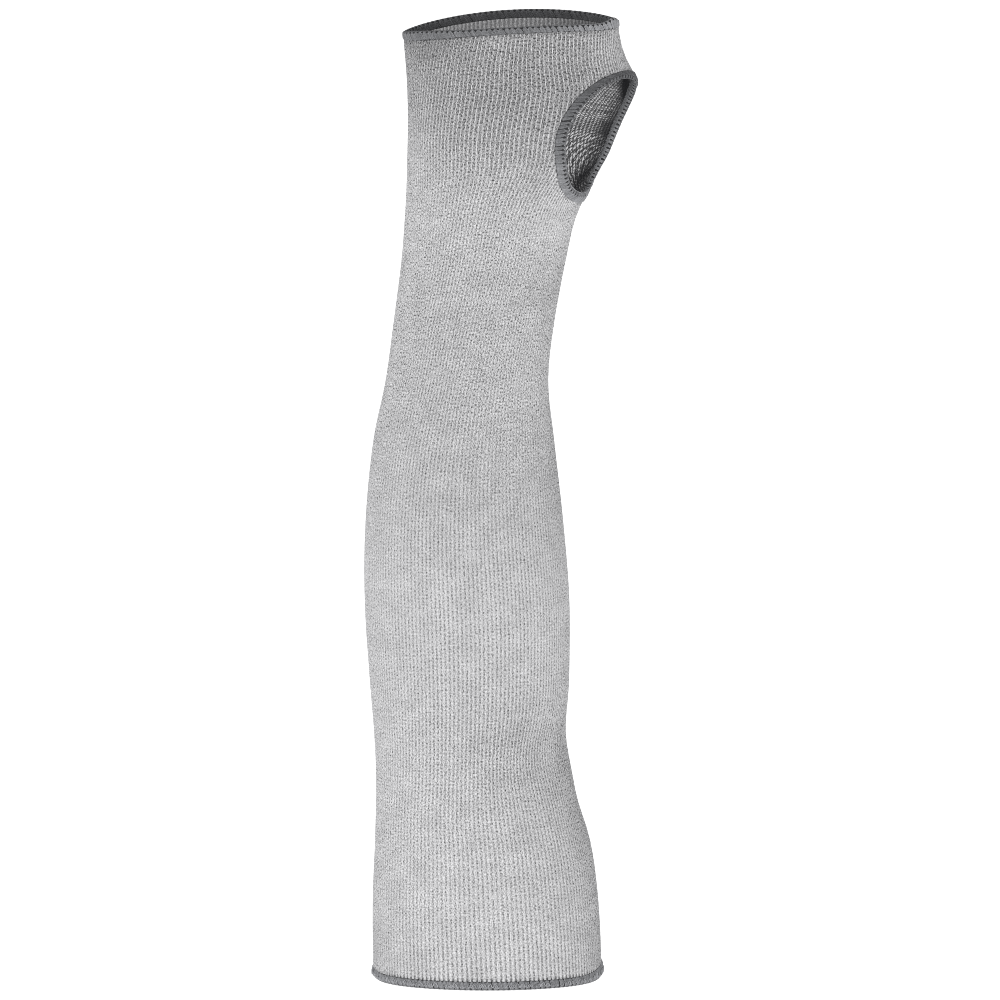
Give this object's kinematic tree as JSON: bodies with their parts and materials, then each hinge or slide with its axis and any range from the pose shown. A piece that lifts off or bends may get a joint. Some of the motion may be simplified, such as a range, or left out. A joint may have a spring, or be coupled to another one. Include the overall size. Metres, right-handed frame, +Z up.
{
  "type": "sleeve protector",
  "caption": "Seamless knitted arm sleeve in worn form, open at the arm and hand ends, with an oval thumb opening and overlocked hems.",
  "frame": {"origin": "middle of the arm opening, level with the lowest edge of the arm hem", "axes": "+Z up the sleeve from the arm opening to the hand opening, +X to the thumb side, -Y to the front of the hand"},
  "size_m": [0.1301, 0.0945, 0.4645],
  "materials": {
    "knit": "matt salt and pepper grey jersey knit",
    "hem_thread": "matt dark grey overlock thread"
  },
  "bodies": {
    "root": {"knit_tube": "knit", "hand_hem": "hem_thread", "thumb_hem": "hem_thread", "arm_hem": "hem_thread"}
  },
  "joints": []
}
